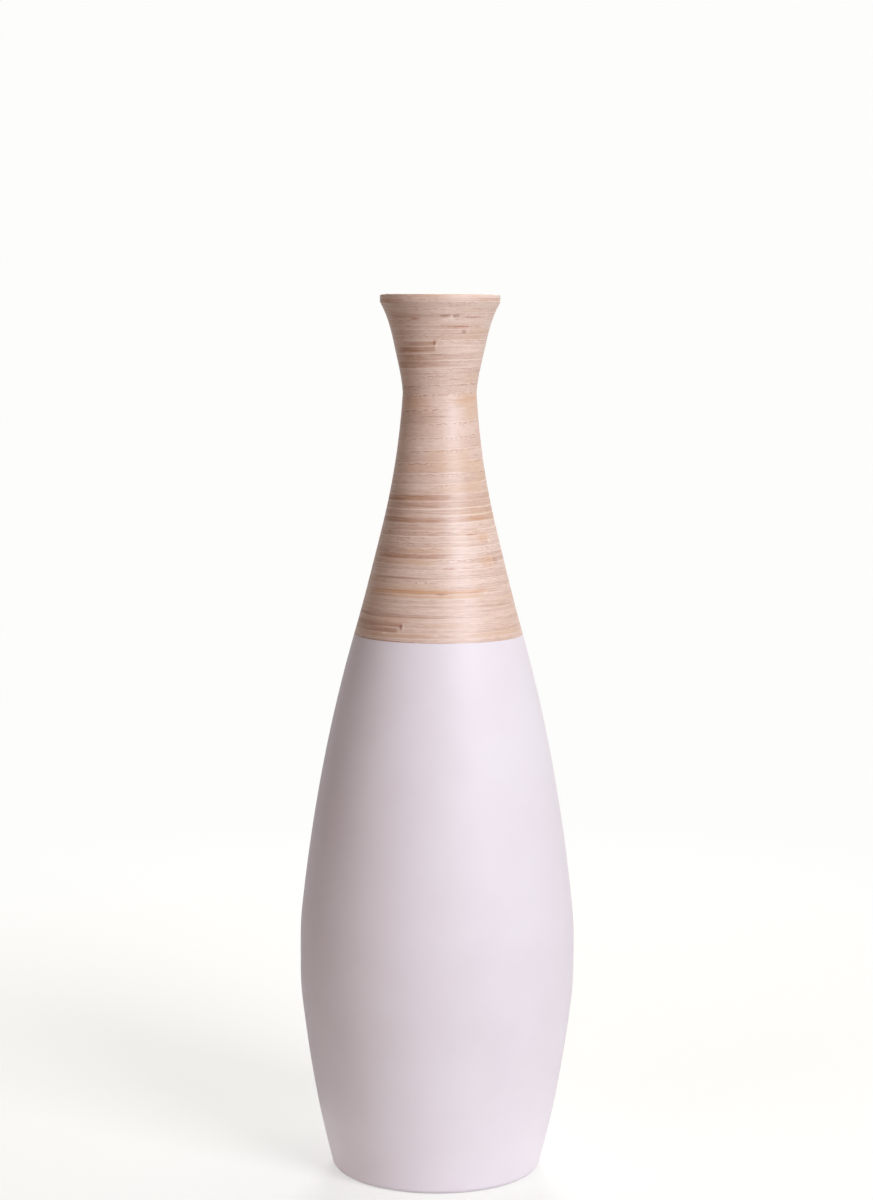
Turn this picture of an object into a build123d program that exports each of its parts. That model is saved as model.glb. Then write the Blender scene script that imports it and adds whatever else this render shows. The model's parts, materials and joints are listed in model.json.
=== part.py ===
from build123d import *
from collections import namedtuple
from itertools import accumulate, pairwise
from math import hypot
import os

# Tall bottle-shaped vase wound from bamboo strips: natural neck and mouth over a white lacquered body.
# Each strip is wound for several turns, which are glued and sanded flush into one hoop of the wall.
# The hoops lap into each other from the foot to the rim, and a flat wound disc closes the bottom.
# Millimetres, +Z up, with the origin at the centre of the foot on the floor.

# Heights of the outer faces, from the floor up
foot_height = 14.0
lower_body_height = 158.0
belly_height = 57.0
upper_body_height = 265.0
shoulder_lower_height = 38.0
shoulder_upper_height = 30.0
collar_height = 30.0
belt_height = 32.0
neck_height = 88.0
throat_height = 17.0
mouth_lower_height = 26.0
mouth_upper_height = 38.0
rim_height = 7.0

# Strips wound one above the other in the white walls
lower_body_strips = 6
belly_strips = 2
upper_body_strips = 9

# Outer radii
foot_radius = 94.5
belly_radius = 125.4
colour_line_radius = 76.5
belt_radius = 51.25
waist_radius = 33.25
mouth_radius = 41.1
rim_radius = 54.0

# How far the outer face runs outward for each millimetre of height
foot_slope = 0.275
lower_body_slope = 0.11
upper_body_slope = -0.10
colour_line_slope = -0.285
belt_slope = -0.245
waist_slope = 0.06
mouth_slope = 0.215
rim_slope = 0.56

# Wall, lap joints and edges
wall_thickness = 6.5
lap_height = 3.0
glue_gap = 0.15
rim_edge_radius = 1.5
foot_edge_radius = 7.0
foot_bore_chamfer = 1.0

# Bottom: the ledge inside the foot hoop and the disc that rests on it
foot_ring_width = 15.0
ledge_height = 6.0
disc_thickness = 8.0
disc_edge_clearance = 0.2

# Heights where the outline changes
belly_bottom = foot_height + lower_body_height
belly_top = belly_bottom + belly_height
colour_line = belly_top + upper_body_height
belt_bottom = colour_line + shoulder_lower_height + shoulder_upper_height + collar_height
waist = belt_bottom + belt_height + neck_height
mouth_middle = waist + throat_height + mouth_lower_height
rim_bottom = mouth_middle + mouth_upper_height
rim_top = rim_bottom + rim_height

# The outline of the wall: a cubic curve runs from each station to the next
Station = namedtuple("Station", "height radius slope_below slope_above")
stations = [
    Station(0.0, foot_radius, foot_slope, foot_slope),
    Station(belly_bottom, belly_radius, lower_body_slope, 0.0),
    Station(belly_top, belly_radius, 0.0, upper_body_slope),
    Station(colour_line, colour_line_radius, colour_line_slope, colour_line_slope),
    Station(belt_bottom, belt_radius, belt_slope, belt_slope),
    Station(waist, waist_radius, -waist_slope, waist_slope),
    Station(mouth_middle, mouth_radius, mouth_slope, mouth_slope),
    Station(rim_bottom, rim_radius, rim_slope, 0.0),
    Station(rim_top, rim_radius, 0.0, 0.0),
]


def radius_at(station, depth):
    """Radius at a station, a depth under the outer face, measured square to the gentler of its two slopes."""
    slope = min(abs(station.slope_below), abs(station.slope_above))
    return station.radius - depth * hypot(1, slope)


def span_points(lower, upper, depth):
    """The four control points of the curve from one station to the next, a depth under the outer face."""
    third = (upper.height - lower.height) / 3
    start = radius_at(lower, depth)
    end = radius_at(upper, depth)
    return [
        (start, lower.height),
        (start + third * lower.slope_above, lower.height + third),
        (end - third * upper.slope_below, upper.height - third),
        (end, upper.height),
    ]


def wall_radius(height, depth):
    """Radius of the wall at any height, a depth under the outer face."""
    lower, upper = next(pair for pair in pairwise(stations) if pair[1].height >= height)
    share = (height - lower.height) / (upper.height - lower.height)
    rest = 1 - share
    a, b, c, d = (radius for radius, _ in span_points(lower, upper, depth))
    return a * rest**3 + 3 * b * share * rest**2 + 3 * c * share**2 * rest + d * share**3


def draw_side(depth):
    """Draws the wall's outline at a depth, from the floor to the rim, with straight lines where it is a cylinder."""
    for lower, upper in pairwise(stations):
        points = span_points(lower, upper, depth)
        if len({radius for radius, _ in points}) == 1:
            Line(points[0], points[-1])
        else:
            Bezier(*points)


# The whole wall, which the hoops are cut from
with BuildPart() as wall:
    with BuildSketch(Plane.XZ):
        with BuildLine():
            draw_side(0)
            draw_side(wall_thickness)
            Line((wall_radius(0, 0), 0), (wall_radius(0, wall_thickness), 0))
            Line((wall_radius(rim_top, 0), rim_top), (wall_radius(rim_top, wall_thickness), rim_top))
        make_face()
    revolve(axis=Axis.Z)

outside_radius = 1.2 * max(station.radius for station in stations)


def joint_step(joint):
    """Which way the inner half of the wall laps past a joint, and the radius and height of that lap.

    A turn stands inside the wider one next to it, so from the top of the belly to the waist the hoop above a
    joint reaches down inside the hoop below, and elsewhere the hoop below reaches up inside the hoop above.
    """
    narrows_upward = belly_top - lap_height < joint < waist + lap_height
    direction = -1 if narrows_upward else 1
    middle = joint + direction * lap_height / 2
    return direction, wall_radius(middle, wall_thickness / 2), joint + direction * lap_height


def lower_end(joint):
    """Corners of the lower end of the hoop above a joint, from the axis outward."""
    direction, radius, height = joint_step(joint)
    radius += direction * glue_gap / 2
    height += glue_gap / 2
    return [(0, height), (radius, height), (radius, joint), (outside_radius, joint)]


def upper_end(joint):
    """Corners of the upper end of the hoop below a joint, from the outside inward."""
    direction, radius, height = joint_step(joint)
    radius -= direction * glue_gap / 2
    height -= glue_gap / 2
    return [(outside_radius, joint), (radius, joint), (radius, height), (0, height)]


# Foot hoop: the lowest turns, with more turns inside that make the standing ring and the ledge for the disc
foot_bore_radius = foot_radius - foot_ring_width
ring_edge_radius = wall_radius(0, wall_thickness / 2)
with BuildPart() as foot_hoop:
    add(wall.part)
    with BuildSketch(Plane.XZ):
        Polygon((0, 0), (outside_radius, 0), *upper_end(foot_height), align=None)
    revolve(axis=Axis.Z, mode=Mode.INTERSECT)
    with BuildSketch(Plane.XZ):
        Polygon(
            (foot_bore_radius, 0),
            (ring_edge_radius, 0),
            (ring_edge_radius, ledge_height),
            (foot_bore_radius, ledge_height),
            align=None,
        )
    revolve(axis=Axis.Z)
    standing_face = foot_hoop.faces().sort_by(Axis.Z)[0]
    chamfer(standing_face.edges().sort_by(SortBy.RADIUS)[0], foot_bore_chamfer)
    standing_face = foot_hoop.faces().sort_by(Axis.Z)[0]
    fillet(standing_face.edges().sort_by(SortBy.RADIUS)[-1], foot_edge_radius)

# Base disc: the flat wound coil that closes the bottom, with its edge bevelled to the wall
disc_top = ledge_height + disc_thickness
with BuildPart() as base_disc:
    with BuildSketch(Plane.XZ):
        Polygon(
            (0, ledge_height),
            (wall_radius(ledge_height, wall_thickness) - disc_edge_clearance, ledge_height),
            (wall_radius(disc_top, wall_thickness) - disc_edge_clearance, disc_top),
            (0, disc_top),
            align=None,
        )
    revolve(axis=Axis.Z)

# Rim hoop: the straight lip, with both upper edges rounded
with BuildPart() as rim_hoop:
    add(wall.part)
    with BuildSketch(Plane.XZ):
        Polygon(*lower_end(rim_bottom), (outside_radius, rim_top), (0, rim_top), align=None)
    revolve(axis=Axis.Z, mode=Mode.INTERSECT)
    fillet(rim_hoop.faces().sort_by(Axis.Z)[-1].edges(), rim_edge_radius)

os.makedirs("parts", exist_ok=True)
foot_hoop.part.label = "foot_hoop"
export_step(foot_hoop.part, "parts/foot_hoop.step")
base_disc.part.label = "base_disc"
export_step(base_disc.part, "parts/base_disc.step")
rim_hoop.part.label = "rim_hoop"
export_step(rim_hoop.part, "parts/rim_hoop.step")


def wall_strips(name, count, height):
    """Names and heights of equal strips that are wound one above the other over a height."""
    return [(f"{name}_{n + 1}", height / count) for n in range(count)]


# The hoops between the foot and the rim, each a wound strip, from the lowest up
strip_heights = [
    *wall_strips("lower_body_strip", lower_body_strips, lower_body_height),
    *wall_strips("belly_strip", belly_strips, belly_height),
    *wall_strips("upper_body_strip", upper_body_strips, upper_body_height),
    ("shoulder_strip_lower", shoulder_lower_height),
    ("shoulder_strip_upper", shoulder_upper_height),
    ("collar_strip", collar_height),
    ("dark_belt", belt_height),
    ("neck_strip", neck_height),
    ("throat_hoop", throat_height),
    ("mouth_strip_lower", mouth_lower_height),
    ("mouth_strip_upper", mouth_upper_height),
]
strip_joints = pairwise(accumulate((height for _, height in strip_heights), initial=foot_height))
for (name, _), (bottom, top) in zip(strip_heights, strip_joints):
    with BuildPart() as strip:
        add(wall.part)
        with BuildSketch(Plane.XZ):
            Polygon(*lower_end(bottom), *upper_end(top), align=None)
        revolve(axis=Axis.Z, mode=Mode.INTERSECT)
    strip.part.label = name
    export_step(strip.part, f"parts/{name}.step")
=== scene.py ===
import json
import math
from collections import namedtuple
from itertools import pairwise

import bpy
import numpy as np
from mathutils import Matrix, Vector
from mathutils.bvhtree import BVHTree


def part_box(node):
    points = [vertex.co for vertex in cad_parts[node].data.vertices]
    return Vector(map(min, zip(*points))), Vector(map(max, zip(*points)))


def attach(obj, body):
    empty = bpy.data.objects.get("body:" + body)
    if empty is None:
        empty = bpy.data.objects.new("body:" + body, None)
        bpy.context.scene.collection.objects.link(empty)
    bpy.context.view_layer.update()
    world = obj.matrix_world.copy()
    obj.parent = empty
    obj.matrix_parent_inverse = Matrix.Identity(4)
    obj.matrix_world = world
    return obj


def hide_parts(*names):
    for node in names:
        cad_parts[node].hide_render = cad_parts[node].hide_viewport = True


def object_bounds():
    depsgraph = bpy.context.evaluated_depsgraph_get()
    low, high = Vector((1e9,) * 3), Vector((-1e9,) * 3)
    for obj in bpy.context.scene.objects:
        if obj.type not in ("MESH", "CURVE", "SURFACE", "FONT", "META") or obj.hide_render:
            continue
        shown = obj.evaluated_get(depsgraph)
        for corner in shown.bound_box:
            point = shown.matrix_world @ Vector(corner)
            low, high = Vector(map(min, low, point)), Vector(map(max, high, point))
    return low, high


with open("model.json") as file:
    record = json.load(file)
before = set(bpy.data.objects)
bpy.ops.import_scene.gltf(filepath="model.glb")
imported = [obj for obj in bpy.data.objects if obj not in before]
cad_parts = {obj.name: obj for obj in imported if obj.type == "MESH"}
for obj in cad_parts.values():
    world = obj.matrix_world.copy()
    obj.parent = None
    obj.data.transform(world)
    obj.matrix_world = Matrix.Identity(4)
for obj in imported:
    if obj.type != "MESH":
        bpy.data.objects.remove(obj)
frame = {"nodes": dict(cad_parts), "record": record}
cad_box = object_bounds()

# A tall vase wound from bamboo strips: natural neck and mouth over a white lacquered body.
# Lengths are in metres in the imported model's frame: +Z up, the vase on the floor at the origin.
# The front faces -Y, where the camera stands, and angles around the vase are counted from there to the right.
MM = 0.001
FULL_TURN = 2 * math.pi
TURN_DEGREES = 360

# Mesh of the hoops
COLUMNS = 224
STRIPED_ROW = 0.9 * MM
WHITE_ROW = 3.0 * MM
INSIDE_ROW = 5.0 * MM
SHARP_ANGLE = math.radians(35)

# Edges and joints of the wall
FOOT_EDGE = 7.0 * MM
FOOT_BORE_CHAMFER = 1.0 * MM
RIM_EDGE = 1.5 * MM
GLUE_GAP = 0.15 * MM
ARC_STEPS = 6

# How far the edges of each turn lie under its middle, after sanding and under the white lacquer, and how flat
# the middle is
STRIPED_CROWN = 0.035 * MM
WHITE_CROWN = 0.015 * MM
CROWN_POWER = 3

# How far sanding reaches from a corner of the white wall's outline, to round it
SANDED = 14.0 * MM
SANDED_STEPS = 15

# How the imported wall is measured: by rays across a few degrees, so that some meet the corners of its facets,
# and at even heights clear of seams and rounded edges
RAY_ENDS = 0.1, 3.7
RAYS = 7
MEASURED_HEIGHTS = 40
SEAM_CLEAR = 0.3 * MM
CURVE_DEGREE = 3
ROUND_OFF = 1e-7

# Flat coil in the bottom
DISC = "base_disc"
DISC_ROW = 0.5 * MM
DISC_COLUMNS = 128
DISC_PITCH = 2.4 * MM
DISC_CROWN = 0.12 * MM
DISC_EYE = 1.0 * MM

# Turns of strip that show in each hoop; the turns of the neck grow wider upward
WHITE_TURN_HEIGHT = 9.5 * MM
TURNS = {
    "shoulder_strip_lower": 9,
    "shoulder_strip_upper": 7,
    "collar_strip": 6,
    "dark_belt": 5,
    "neck_strip": 8,
    "throat_hoop": 2,
    "mouth_strip_lower": 4,
    "mouth_strip_upper": 8,
    "rim_hoop": 2,
}
NECK_WIDENING = 0.3

# How each hoop's strip looks, at its lower and at its upper end, from 0 to 1: the pale edge along the top of
# every turn, the dotted line of dark fibre ends under it, the streaks, and how much paler the strip is than
# most, which is painted light: the throat, mouth and rim are lifted to stand in for the light that the flared
# mouth catches from below
Look = namedtuple("Look", "pale_edge dark_dots streaks paler", defaults=[(0.0, 0.0)])
PLAIN_LOOK = Look((0.3, 0.3), (0.3, 0.3), (0.5, 0.5))
LOOKS = {
    "shoulder_strip_lower": Look((0.22, 0.26), (0.2, 0.2), (0.42, 0.5)),
    "shoulder_strip_upper": Look((0.3, 0.3), (0.3, 0.3), (0.6, 0.6)),
    "collar_strip": Look((0.3, 0.45), (0.6, 0.6), (0.4, 0.4)),
    "dark_belt": Look((0.4, 0.45), (0.3, 0.3), (0.55, 0.5)),
    "neck_strip": Look((0.5, 0.0), (0.7, 1.0), (0.3, 0.3)),
    "throat_hoop": Look((0.1, 0.3), (0.9, 0.7), (0.3, 0.35), (0.0, 0.03)),
    "mouth_strip_lower": Look((0.5, 0.4), (0.4, 0.4), (0.65, 0.7), (0.03, 0.06)),
    "mouth_strip_upper": Look((0.25, 0.2), (0.4, 0.5), (0.7, 0.65), (0.07, 0.1)),
    "rim_hoop": Look((0.1, 0.05), (0.9, 0.2), (0.35, 0.35), (0.1, 0.1)),
}

nodes = frame["nodes"]
slot_of = {part["node"]: part["material_slot"] for part in frame["record"]["subparts"]}
hoops = sorted((name for name in nodes if name != DISC), key=lambda name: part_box(name)[0].z)

# Stretches of the wall with one smooth outline, by their lowest and highest hoops
belly = [name for name in hoops if name.startswith("belly")]
SMOOTH_STRETCHES = [
    ("foot_hoop", "lower_body_strip_6"),
    (belly[0], belly[-1]),
    ("upper_body_strip_1", "upper_body_strip_9"),
    ("shoulder_strip_lower", "collar_strip"),
    ("dark_belt", "neck_strip"),
    ("throat_hoop", "mouth_strip_lower"),
    ("mouth_strip_upper", "mouth_strip_upper"),
    ("rim_hoop", "rim_hoop"),
]


def seam_heights():
    """Heights of the seams between the hoops, with the floor and the rim, outside and inside the wall.

    Where the wall narrows upward, a hoop reaches down inside the one below, and elsewhere up inside the one
    above.
    """
    narrowing = hoops[hoops.index(belly[-1]):hoops.index("throat_hoop")]
    outside = [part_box(hoops[0])[0].z]
    inside = [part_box(DISC)[0].z]
    for below, above in pairwise(hoops):
        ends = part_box(below)[1].z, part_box(above)[0].z
        outer, inner = ends if below in narrowing else reversed(ends)
        outside.append(outer)
        inside.append(inner)
    rim_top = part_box(hoops[-1])[1].z
    return outside + [rim_top], inside + [rim_top]


outer_seams, inner_seams = seam_heights()


def wall_tree():
    """A search tree over the faces of every hoop."""
    points = []
    faces = []
    for name in hoops:
        start = len(points)
        mesh = nodes[name].data
        points.extend(vertex.co.copy() for vertex in mesh.vertices)
        faces.extend([start + corner for corner in face.vertices] for face in mesh.polygons)
    return BVHTree.FromPolygons(points, faces)


def measure_wall():
    """Curves for the outer and inner radius over each smooth stretch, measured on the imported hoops."""
    tree = wall_tree()
    reach = cad_box[1][2]
    angles = np.radians(np.linspace(*RAY_ENDS, RAYS))
    outward = [Vector((math.cos(angle), math.sin(angle), 0)) for angle in angles]
    lowest = FOOT_EDGE + SEAM_CLEAR
    highest = outer_seams[-1] - RIM_EDGE - SEAM_CLEAR
    stretches = []
    for first, last in SMOOTH_STRETCHES:
        bottom = outer_seams[hoops.index(first)]
        top = outer_seams[hoops.index(last) + 1]
        start = max(bottom + SEAM_CLEAR, lowest)
        end = min(top - SEAM_CLEAR, highest)
        heights = np.linspace(start, end, MEASURED_HEIGHTS)
        outer = []
        inner = []
        for height in heights:
            axis_point = Vector((0, 0, height))
            outside = [tree.ray_cast(axis_point + reach * way, -way)[0] for way in outward]
            inside = [tree.ray_cast(axis_point, way)[0] for way in outward]
            outer.append(max(hit.xy.length for hit in outside))
            inner.append(max(hit.xy.length for hit in inside))
        curves = [np.polynomial.Polynomial.fit(heights, radii, CURVE_DEGREE) for radii in (outer, inner)]
        stretches.append((top, *curves))
    return stretches


stretches = measure_wall()


def wall_radius(heights, inner=False):
    """Radius of the wall's outer or inner side at each height."""
    heights = np.asarray(heights, float)
    tops = [top for top, _, _ in stretches]
    stretch = np.minimum(np.searchsorted(tops, heights - ROUND_OFF), len(tops) - 1)
    return np.choose(stretch, [curves[inner](heights) for _, *curves in stretches])


def wind():
    """Heights of the strip's seams at the front from the floor up, and the number of the turn above each."""
    heights = [outer_seams[0]]
    for name, (bottom, top) in zip(hoops, pairwise(outer_seams)):
        turns = TURNS.get(name) or max(1, round((top - bottom) / WHITE_TURN_HEIGHT))
        share = np.arange(1, turns + 1) / turns
        if name == "neck_strip":
            share = (share + NECK_WIDENING * share**2) / (1 + NECK_WIDENING)
        heights.extend(bottom + (top - bottom) * share)
    return np.array(heights), np.arange(len(heights), dtype=float)


turn_heights, turn_numbers = wind()


def sanded_radius(heights):
    """Radius of the outside of the white wall, whose corners are sanded round."""
    reach = np.linspace(-SANDED, SANDED, SANDED_STEPS)
    return np.mean([wall_radius(heights + step) for step in reach], axis=0)


def winding_at(heights):
    """Turns wound below a height at the front."""
    return np.interp(heights, turn_heights, turn_numbers)


def pitch_at(heights):
    """Height of the turn at a height."""
    turn = np.clip(np.searchsorted(turn_heights, heights) - 1, 0, len(turn_heights) - 2)
    return np.diff(turn_heights)[turn]


# Meshes of the hoops

def spread(low, high, step):
    """Evenly spaced heights from low to high, about a step apart."""
    return np.linspace(low, high, max(1, round((high - low) / step)) + 1)


def arc(centre, radius, start, end):
    """Points of an arc around a centre, from one angle to another."""
    angles = np.radians(np.linspace(start, end, ARC_STEPS + 1))
    return [(centre[0] + radius * math.cos(a), centre[1] + radius * math.sin(a)) for a in angles]


def lap_radius(seam):
    """Radius of the lap in the middle of the wall at a seam."""
    middle = (outer_seams[seam] + inner_seams[seam]) / 2
    return float(wall_radius(middle) + wall_radius(middle, inner=True)) / 2


def lap_points(seam, hoop_side):
    """The two corners of a lap, at the outer and the inner seam.

    The hoop's side is 1 for the hoop above the seam and -1 for the one below it.
    """
    outer, inner = outer_seams[seam], inner_seams[seam]
    radius = lap_radius(seam) + math.copysign(GLUE_GAP / 2, hoop_side * (inner - outer))
    return [(radius, outer), (radius, inner)]


def foot_edge():
    """The rounded outer edge of the foot, from the floor up to the wall."""
    low = outer_seams[0]
    slope = float(wall_radius(FOOT_EDGE) - wall_radius(low)) / FOOT_EDGE
    centre = float(wall_radius(FOOT_EDGE)) - FOOT_EDGE * math.hypot(1, slope)
    return arc((centre, low + FOOT_EDGE), FOOT_EDGE, -90, -math.degrees(math.atan(slope)))


def foot_bore():
    """The ledge, bore and chamfer inside the foot, from the ledge down to the floor."""
    low, ledge = outer_seams[0], inner_seams[0]
    bore = min(vertex.co.xy.length for vertex in nodes["foot_hoop"].data.vertices)
    return [(bore, ledge), (bore, low + FOOT_BORE_CHAMFER), (bore + FOOT_BORE_CHAMFER, low)]


def rim_top():
    """The rounded top of the rim, from the outside in."""
    middle = outer_seams[-1] - RIM_EDGE
    outer = float(wall_radius(middle)) - RIM_EDGE
    inner = float(wall_radius(middle, inner=True)) + RIM_EDGE
    return arc((outer, middle), RIM_EDGE, 0, 90) + arc((inner, middle), RIM_EDGE, 90, 180)


def section(index, row, outer_radius):
    """A hoop's cross-section: up the outside, in along the top, down the inside and out along the bottom.

    Returns the points and how many of them are on the outside, where the finish is.
    """
    edge_below, edge_above = [], []
    low, high = outer_seams[index], outer_seams[index + 1]
    inner_high = inner_seams[index + 1]
    if index == 0:
        *edge_below, (_, low) = foot_edge()
        lower_end = foot_bore()
    else:
        lower_end = lap_points(index, 1)[::-1]
    if index == len(hoops) - 1:
        high -= RIM_EDGE
        inner_high = high
        edge_above = rim_top()[1:]
        upper_end = []
    else:
        upper_end = lap_points(index + 1, -1)
    outer_rows = spread(low, high, row)
    inner_rows = spread(inner_seams[index], inner_high, INSIDE_ROW)[::-1]
    if edge_above:
        inner_rows = inner_rows[1:]
    outside = [*edge_below, *zip(outer_radius(outer_rows), outer_rows), *edge_above]
    inside = [*upper_end, *zip(wall_radius(inner_rows, inner=True), inner_rows), *lower_end]
    return np.array(outside + inside), len(outside)


def round_places(radius, turn, height):
    """Points at a radius and a height, a part of a turn to the right of the front."""
    angle = turn * FULL_TURN
    places = np.broadcast_arrays(radius * np.sin(angle), -radius * np.cos(angle), height)
    return np.stack(places, -1).reshape(-1, 3)


def ring_faces(rows, columns, closed):
    """Faces from each row of points around the axis to the next, and from the last to the first if closed."""
    row, column = np.divmod(np.arange((rows if closed else rows - 1) * columns), columns)
    next_row = (row + 1) % rows
    next_column = (column + 1) % columns
    corners = [(row, column), (row, next_column), (next_row, next_column), (next_row, column)]
    return np.stack([r * columns + c for r, c in corners], -1).tolist()


def crown_depth(winding, turn, crown):
    """How far the face of a wound strip lies under the middle of its turns."""
    across = (winding[:, None] - turn) % 1
    return crown * np.abs(2 * across - 1) ** CROWN_POWER


def ring_mesh(name, points, outside_rows, crown, look):
    """A closed ring from the points of its cross-section, with the turns of strip crowned on its outside."""
    radii, heights = points.T
    winding = winding_at(heights)
    turn = np.arange(COLUMNS) / COLUMNS
    sunk = crown_depth(winding, turn, crown)
    sunk[outside_rows:] = 0
    places = round_places(radii[:, None] - sunk, turn, heights[:, None])

    mesh = bpy.data.meshes.new(name)
    mesh.from_pydata(places.tolist(), [], ring_faces(len(points), COLUMNS, closed=True))
    unroll(mesh, points, outside_rows)
    store(mesh, "inside", np.repeat(np.arange(len(points)) >= outside_rows - 1, COLUMNS), "FACE")
    store(mesh, "winding", np.repeat(winding, COLUMNS))
    store(mesh, "pitch", np.repeat(pitch_at(heights), COLUMNS))
    ends = sorted((heights[outside_rows - 1], heights[0]))
    for field, lower_and_upper in zip(Look._fields, look):
        store(mesh, field, np.repeat(np.interp(heights, ends, lower_and_upper), COLUMNS))
    finish_mesh(mesh)
    return mesh


def unroll(mesh, points, outside_rows):
    """Lays the ring's faces out flat: its outside in the lower part of the sheet, the rest above it."""
    outside_share = 0.68
    border = 0.01
    lengths = np.linalg.norm(np.roll(points, -1, axis=0) - points, axis=1)
    low = np.zeros(len(points))
    high = np.zeros(len(points))
    groups = [
        (slice(0, outside_rows - 1), border, outside_share - border),
        (slice(outside_rows - 1, None), outside_share + border, 1 - border),
    ]
    for rows, start, end in groups:
        ends = start + (end - start) * np.cumsum(lengths[rows]) / np.sum(lengths[rows])
        low[rows] = np.concatenate([[start], ends[:-1]])
        high[rows] = ends
    row, column = np.divmod(np.arange(len(points) * COLUMNS), COLUMNS)
    left = border + (1 - 2 * border) * column / COLUMNS
    right = border + (1 - 2 * border) * (column + 1) / COLUMNS
    sheet = np.stack([left, low[row], right, low[row], right, high[row], left, high[row]], -1)
    mesh.uv_layers.new(name="OFBake").data.foreach_set("uv", sheet.ravel().astype(np.float32))


def store(mesh, name, values, domain="POINT"):
    """Keeps one number for each point or face of a mesh, for its material."""
    mesh.attributes.new(name, "FLOAT", domain).data.foreach_set("value", values.astype(np.float32))


def finish_mesh(mesh):
    """Smooth faces with sharp corners."""
    mesh.shade_smooth()
    mesh.set_sharp_from_angle(angle=SHARP_ANGLE)
    mesh.validate()


def lay_out_disc(mesh, low, high):
    """Lays the disc's faces out flat: underside and top side by side, with the bevelled edge above them."""
    face_radius = 0.24
    face_centres = (0.25, 0.25), (0.75, 0.25)
    edge_length = 0.98
    edge_band = 0.6, 0.64
    middle_height = (low + high) / 2
    reach = max(vertex.co.xy.length for vertex in mesh.vertices)
    sheet = mesh.uv_layers.new(name="OFBake").data
    for face in mesh.polygons:
        corners = [mesh.vertices[index].co for index in face.vertices]
        upper_corners = [corner.z > middle_height for corner in corners]
        middle = sum(corners, Vector()) / len(corners)
        for loop, corner, upper in zip(face.loop_indices, corners, upper_corners):
            if len(set(upper_corners)) == 1:
                side = -1 if upper else 1
                x, y = face_centres[upper]
                place = corner.xy * face_radius / reach
                sheet[loop].uv = x + side * place.x, y + place.y
            else:
                turn = math.atan2(middle.y, middle.x) / FULL_TURN
                turn += (math.atan2(corner.y, corner.x) / FULL_TURN - turn + 0.5) % 1 - 0.5
                sheet[loop].uv = 0.5 + edge_length * turn, edge_band[upper]


def disc_mesh():
    """The flat coil that closes the bottom: its rows run outward below and back inward on top."""
    corners = np.array([vertex.co for vertex in nodes[DISC].data.vertices])
    low, high = (corner.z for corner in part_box(DISC))
    reach = np.hypot(corners[:, 0], corners[:, 1])
    low_edge = reach[corners[:, 2] < (low + high) / 2].max()
    high_edge = reach[corners[:, 2] > (low + high) / 2].max()
    under = spread(DISC_EYE, low_edge, DISC_ROW)
    over = spread(DISC_EYE, high_edge, DISC_ROW)[::-1]
    radii = np.concatenate([under, over])
    heights = np.concatenate([np.full(len(under), low), np.full(len(over), high)])
    inward = np.concatenate([np.ones(len(under)), -np.ones(len(over))])
    winding = radii / DISC_PITCH
    turn = np.arange(DISC_COLUMNS) / DISC_COLUMNS
    sunk = crown_depth(winding, turn, DISC_CROWN)
    coil = round_places(radii[:, None], turn, heights[:, None] + inward[:, None] * sunk)
    places = np.concatenate([coil, [(0, 0, low), (0, 0, high)]])

    # Fans of faces close the eye of the coil, one below and one on top
    first_row = np.arange(DISC_COLUMNS)
    turned = (first_row + 1) % DISC_COLUMNS
    last_row = (len(radii) - 1) * DISC_COLUMNS
    under_eye = np.full(DISC_COLUMNS, len(coil))
    under_fan = np.stack([under_eye, turned, first_row], -1).tolist()
    over_fan = np.stack([under_eye + 1, last_row + first_row, last_row + turned], -1).tolist()
    sides = ring_faces(len(radii), DISC_COLUMNS, closed=False)

    mesh = bpy.data.meshes.new(DISC + "_coil")
    mesh.from_pydata(places.tolist(), [], sides + under_fan + over_fan)
    lay_out_disc(mesh, low, high)
    store(mesh, "winding", np.concatenate([np.repeat(winding, DISC_COLUMNS), [0, 0]]))
    store(mesh, "pitch", np.full(len(places), DISC_PITCH))
    for field, (value, _) in zip(Look._fields, PLAIN_LOOK):
        store(mesh, field, np.full(len(places), value))
    store(mesh, "inside", np.ones(len(mesh.polygons)), "FACE")
    finish_mesh(mesh)
    return mesh


# Materials

def colour(red, green, blue):
    """A colour written in 8-bit sRGB, as the shaders take it."""
    def linear(value):
        share = value / 255
        return share / 12.92 if share <= 0.04045 else ((share + 0.055) / 1.055) ** 2.4
    return linear(red), linear(green), linear(blue), 1.0


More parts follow.
